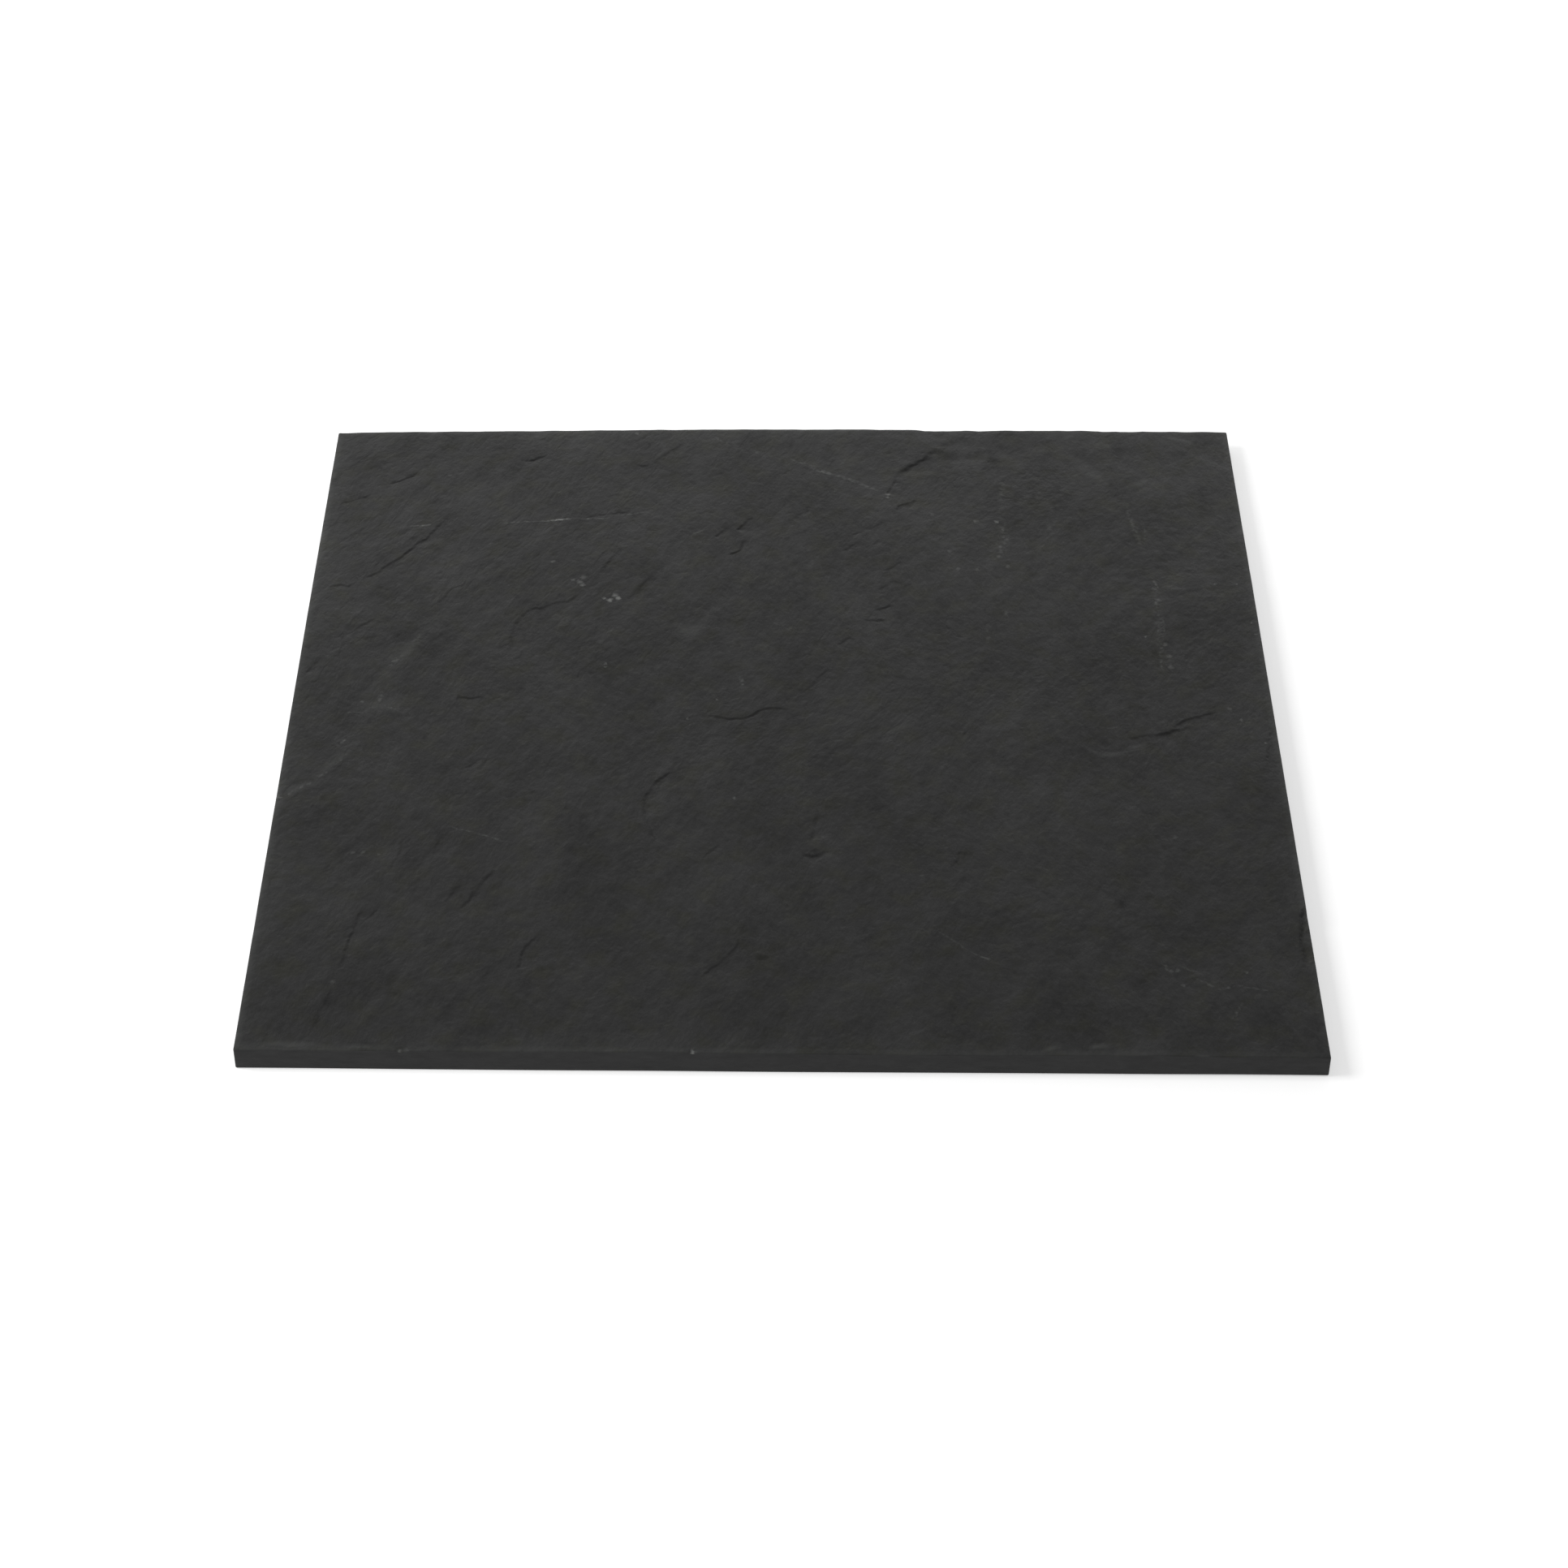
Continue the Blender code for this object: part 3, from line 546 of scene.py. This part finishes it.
def streak(from_x, from_y, to_x, to_y, half_width, strength):
    """One streak: strongest along its middle, and gone at its ends and sides."""
    run = Vector((to_x - from_x, to_y - from_y))
    made = add(tree, "Mapping", {
        "Vector": wobbly, "Location": ((from_x + to_x) / 2, (from_y + to_y) / 2, 0),
        "Rotation": (0, 0, math.atan2(run.y, run.x)),
        "Scale": (run.length / 2 + half_width, half_width, ANY_HEIGHT)}, vector_type="TEXTURE")
    made = add(tree, "TexGradient", {"Vector": made}, gradient_type="SPHERICAL").outputs["Fac"]
    return add(tree, "Math", {0: made, 1: MARK_GAIN * strength}, operation="MULTIPLY")


pale = dark = 0.0
for mark in sum(STREAKS.values(), []):
    pale = add(tree, "Math", {0: streak(*mark), 1: pale}, operation="MAXIMUM")
broken = add(tree, "TexNoise", {"Vector": mm, "Scale": 1 / BROKEN_SIZE, "Detail": 2})
broken = add(tree, "MapRange", {
    "Value": broken, "From Min": 0.42, "From Max": 0.62, "To Min": 0.08, "To Max": 1.2})
pale = add(tree, "Math", {0: pale, 1: broken}, operation="MULTIPLY")
for mark in sum(SMEARS.values(), []):
    pale = add(tree, "Math", {0: streak(*mark), 1: pale}, operation="MAXIMUM")
for mark in sum(SHADED.values(), []):
    dark = add(tree, "Math", {0: streak(*mark), 1: dark}, operation="MAXIMUM")
fleck = add(tree, "TexNoise", {"Vector": mm, "Scale": 1 / FLECK_SIZE, "Detail": 1})
fleck = add(tree, "VectorMath", {0: fleck.outputs["Color"], 1: (0.5, 0.5, 0.5)}, operation="SUBTRACT")
fleck = add(tree, "VectorMath", {0: fleck, 1: (FLECK,) * 3, 2: mm}, operation="MULTIPLY_ADD")
fleck = add(tree, "VectorMath", {0: fleck, 1: (1, 1, 0)}, operation="MULTIPLY")
for marks in (SPECKS, SHADE_AND_DARK_SPOTS):
    for at_x, at_y, radius, strength in marks:
        spot = add(tree, "VectorMath", {0: fleck, 1: (at_x, at_y, 0)}, operation="DISTANCE")
        peak = MARK_GAIN * strength
        spot = add(tree, "Math", {0: spot, 1: -peak / radius, 2: peak}, operation="MULTIPLY_ADD")
        if marks is SPECKS:
            pale = add(tree, "Math", {0: spot, 1: pale}, operation="MAXIMUM")
        else:
            dark = add(tree, "Math", {0: spot, 1: dark}, operation="MAXIMUM")

# Pale rims: the arrises are pale over about two millimetres, more in some places than in others, partly wear
# and partly a painted highlight on the arris; the margin of the face inside them is a little paler too,
# partly the stone's tone and partly painted highlight, most of all to the back left
WEAR_AND_HIGHLIGHT_FROM, WEAR_AND_HIGHLIGHT_TO, WEAR_AND_HIGHLIGHT_PALE = 0.3, 2.4, 0.052
MARGIN_PALE_REACH, MARGIN_PALE_RIGHT, MARGIN_PALE_LEFT = 9, 0.016, 0.034
UNEVEN_RIM_SIZE = 18
edges = None
front_turn = math.atan2((DEPTH - LEFT_SIDE) / 2, WIDTH)
for way, reach in (
        ((1, 0, 0), WIDTH / 2), ((-1, 0, 0), WIDTH / 2),
        ((math.sin(front_turn), math.cos(front_turn), 0), (DEPTH + LEFT_SIDE) / 4 * math.cos(front_turn)),
        ((math.sin(front_turn), -math.cos(front_turn), 0), (DEPTH + LEFT_SIDE) / 4 * math.cos(front_turn))):
    inward = add(tree, "VectorMath", {0: mm, 1: way}, operation="DOT_PRODUCT")
    inward = add(tree, "Math", {0: inward, 1: reach}, operation="ADD")
    edges = add(tree, "Math", {0: edges, 1: inward}, operation="MINIMUM") if edges else inward
rim_wear_and_highlight = add(tree, "MapRange", {
    "Value": edges, "From Min": WEAR_AND_HIGHLIGHT_FROM, "From Max": WEAR_AND_HIGHLIGHT_TO, "To Min": WEAR_AND_HIGHLIGHT_PALE, "To Max": 0})
uneven_rim = add(tree, "TexNoise", {"Vector": mm, "Scale": 1 / UNEVEN_RIM_SIZE, "Detail": 4})
uneven_rim = add(tree, "MapRange", {"Value": uneven_rim, "From Min": 0.35, "From Max": 0.6, "To Min": 0.5})
margin = add(tree, "MapRange", {"Value": edges, "From Max": MARGIN_PALE_REACH, "To Min": 1, "To Max": 0})
margin_tone_and_highlight = add(tree, "VectorMath", {0: mm, 1: (-1 / WIDTH, 1 / DEPTH, 0)}, operation="DOT_PRODUCT")
margin_tone_and_highlight = add(tree, "MapRange", {
    "Value": margin_tone_and_highlight, "From Min": -0.5, "From Max": 0.5,
    "To Min": MARGIN_PALE_RIGHT, "To Max": MARGIN_PALE_LEFT})
margin = add(tree, "Math", {0: margin, 1: margin_tone_and_highlight}, operation="MULTIPLY")
rim_wear_and_highlight = add(tree, "Math", {0: rim_wear_and_highlight, 1: margin}, operation="ADD")
rim_wear_and_highlight = add(tree, "Math", {0: rim_wear_and_highlight, 1: uneven_rim}, operation="MULTIPLY")
pale = add(tree, "Math", {0: pale, 1: rim_wear_and_highlight}, operation="MAXIMUM", use_clamp=True)
tone = add(tree, "MapRange", {"Value": tone, "From Min": 0.17, "From Max": 0.83})
# The dashes add their painted shade to the dark marks
dark = add(tree, "Math", {0: dark, 1: dash_gap_and_shade}, operation="ADD")
# The faces of the ledges' steps are painted with shade
step_shade = add(tree, "Attribute", attribute_name="step_shade").outputs["Fac"]
dark = add(tree, "Math", {0: step_shade, 1: STEP_SHADE, 2: dark}, operation="MULTIPLY_ADD")
tone = add(tree, "Math", {0: tone, 1: dark}, operation="SUBTRACT", use_clamp=True)
body = add(tree, "Mix", {
    "Factor": tone, "A": linear(SLATE_DARK), "B": linear(SLATE_LIGHT)}, data_type="RGBA")
stain = add(tree, "TexNoise", {"Vector": mm, "Scale": 1 / STAIN_SIZE, "Detail": 3})
stain = add(tree, "MapRange", {"Value": stain, "From Min": 0.48, "From Max": 0.72})
body = add(tree, "Mix", {
    "Factor": stain, "A": body, "B": linear(STAIN)}, data_type="RGBA", blend_type="MULTIPLY")
body = add(tree, "Mix", {"Factor": pale, "A": body, "B": linear(PALE)}, data_type="RGBA")
sheen = add(tree, "MapRange", {"Value": tone, "To Min": SHEEN_LOW, "To Max": SHEEN_HIGH})

bump = add(tree, "Bump", {"Height": height, "Strength": 1, "Distance": MM})
shader = add(tree, "BsdfPrincipled", {
    "Base Color": body, "Roughness": 0.5, "Specular IOR Level": sheen, "Normal": bump})
finish(tree, shader)

# Sawn slate: the same stone cut by a wet saw, smoother and a little lighter, with faint lines along the cut
SAWN_DARK, SAWN_LIGHT = "#2f2f2f", "#494949"
LINE_LONG, LINE_HIGH, LINE_RELIEF = 7, 2, 0.1
sawn, tree, mm = new_material("sawn_slate")
cut = add(tree, "Mapping", {"Vector": mm, "Scale": (1 / LINE_LONG, 1 / LINE_LONG, 1 / LINE_HIGH)})
lines = add(tree, "TexNoise", {"Vector": cut, "Scale": 1, "Detail": 4, "Roughness": 0.7})
body = add(tree, "Mix", {"Factor": lines, "A": linear(SAWN_DARK), "B": linear(SAWN_LIGHT)}, data_type="RGBA")
bump = add(tree, "Bump", {"Height": lines, "Strength": 1, "Distance": LINE_RELIEF * MM})
shader = add(tree, "BsdfPrincipled", {
    "Base Color": body, "Roughness": 0.6, "Specular IOR Level": 0.12, "Normal": bump})
finish(tree, shader)

WALL_BELOW = 0.3
slab.data.materials.append(slate)
slab.data.materials.append(sawn)
for face in slab.data.polygons:
    face.material_index = int(abs(face.normal.z) < WALL_BELOW)
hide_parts("slate_slab")
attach(slab, "root")


# The feet are small discs die-cut from black EVA foam with an adhesive back, stuck under the corners so that
# the stone doesn't scratch the table. Their shape is the CAD's, and they get a finish of fine closed cells.
FOAM_DARK, FOAM_LIGHT = "#141415", "#222223"
FOAM_CELL, FOAM_RELIEF = 0.4, 0.05
foam, tree, mm = new_material("eva_foam")
cells = add(tree, "TexVoronoi", {"Vector": mm, "Scale": 1 / FOAM_CELL})
body = add(tree, "Mix", {"Factor": cells, "A": linear(FOAM_DARK), "B": linear(FOAM_LIGHT)}, data_type="RGBA")
bump = add(tree, "Bump", {"Height": cells, "Strength": 0.6, "Distance": FOAM_RELIEF * MM})
shader = add(tree, "BsdfPrincipled", {
    "Base Color": body, "Roughness": 0.9, "Specular IOR Level": 0.2, "Normal": bump})
finish(tree, shader)
for name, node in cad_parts.items():
    if name.startswith("foot_"):
        node.data.materials.clear()
        node.data.materials.append(foam)


# The floor is a plain sheet of white paper that the feet stand on. What the camera sees of it is brought up
# to white by a little glow, more of it far off, and it keeps the plate's soft shadow. NEAR and FAR are in mm.
FLOOR_SIZE, PAPER = 12, "#f4f4f4"
FLOOR_GLOW, FAR_GLOW, NEAR, FAR = 0.5, 0.75, 250, 900
bpy.ops.object.select_all(action="DESELECT")
bpy.ops.mesh.primitive_plane_add(size=FLOOR_SIZE)
floor = bpy.context.object
floor.name = floor.data.name = "floor"
paper, tree, mm = new_material("white_paper")
path = add(tree, "LightPath")
seen = add(tree, "Math", {
    0: path.outputs["Is Camera Ray"], 1: path.outputs["Is Glossy Ray"]}, operation="MAXIMUM")
seen = add(tree, "Math", {0: seen, 1: path.outputs["Is Transmission Ray"]}, operation="MAXIMUM")
far = add(tree, "VectorMath", {0: mm}, operation="LENGTH")
glow = add(tree, "MapRange", {
    "Value": far, "From Min": NEAR, "From Max": FAR, "To Min": FLOOR_GLOW, "To Max": FAR_GLOW})
glow = add(tree, "Math", {0: seen, 1: glow}, operation="MULTIPLY")
shader = add(tree, "BsdfPrincipled", {
    "Base Color": linear(PAPER), "Roughness": 0.9, "Specular IOR Level": 0.0,
    "Emission Color": (1, 1, 1, 1), "Emission Strength": glow})
finish(tree, shader)
floor.data.materials.append(paper)


# Soft light: an even white surround, a soft box from the left and a low strip of light behind the plate
SURROUND = 0.33
world = bpy.data.worlds.new("surround")
bpy.context.scene.world = world
world.use_nodes = True
tree = world.node_tree
tree.nodes.clear()
path = add(tree, "LightPath")
seen = add(tree, "Math", {
    0: path.outputs["Is Camera Ray"], 1: path.outputs["Is Glossy Ray"]}, operation="MAXIMUM")
seen = add(tree, "Math", {0: seen, 1: path.outputs["Is Transmission Ray"]}, operation="MAXIMUM")
level = add(tree, "MapRange", {"Value": seen, "To Min": SURROUND, "To Max": 1})
add(tree, "OutputWorld", {"Surface": add(tree, "Background", {"Color": (1, 1, 1, 1), "Strength": level})})

# Each soft box: its turn round the plate from +X and its rise above the horizon in degrees, its distance,
# width and height in metres, and its share of full light
BOXES = {"key": (187, 45, 1.3, 0.50, 0.50, 0.34), "back": (90, 20.6, 0.342, 0.8, 0.1, 0.08)}
for name, (turn, rise, away, width, height, share) in BOXES.items():
    turn, rise = math.radians(turn), math.radians(rise)
    towards = Vector((math.cos(turn) * math.cos(rise), math.sin(turn) * math.cos(rise), math.sin(rise)))
    lamp = bpy.data.lights.new(name, "AREA")
    lamp.shape = "RECTANGLE"
    lamp.size, lamp.size_y = width, height
    lamp.energy = share * math.pi ** 2 * away ** 2 / math.sin(rise)
    box = bpy.data.objects.new(name, lamp)
    box.location = towards * away
    box.rotation_euler = towards.to_track_quat("Z", "Y").to_euler()
    bpy.context.scene.collection.objects.link(box)


# The camera: fitted to the plate's outline in the photograph, looking down at the front edge from 40 degrees
IMAGE_SIDE, FOCAL_PIXELS = 1932, 4376.44
AZIMUTH, ELEVATION, ROLL = (math.radians(a) for a in (-0.10588, 40.0124, 0.23386))
DISTANCE, TARGET = 1.0687, Vector((0.00051, -0.02688, 0))
back = Vector((
    math.sin(AZIMUTH) * math.cos(ELEVATION), -math.cos(AZIMUTH) * math.cos(ELEVATION), math.sin(ELEVATION)))
right = Vector((math.cos(AZIMUTH), math.sin(AZIMUTH), 0))
axes = Matrix((right, back.cross(right), back)).transposed() @ Matrix.Rotation(ROLL, 3, "Z")
lens = bpy.data.cameras.new("camera")
lens.sensor_width = 36
lens.lens = FOCAL_PIXELS / IMAGE_SIDE * lens.sensor_width
camera = bpy.data.objects.new("camera", lens)
camera.matrix_world = Matrix.LocRotScale(TARGET + DISTANCE * back, axes, None)
bpy.context.scene.collection.objects.link(camera)
bpy.context.scene.camera = camera
bpy.context.scene.view_settings.view_transform = "Standard"
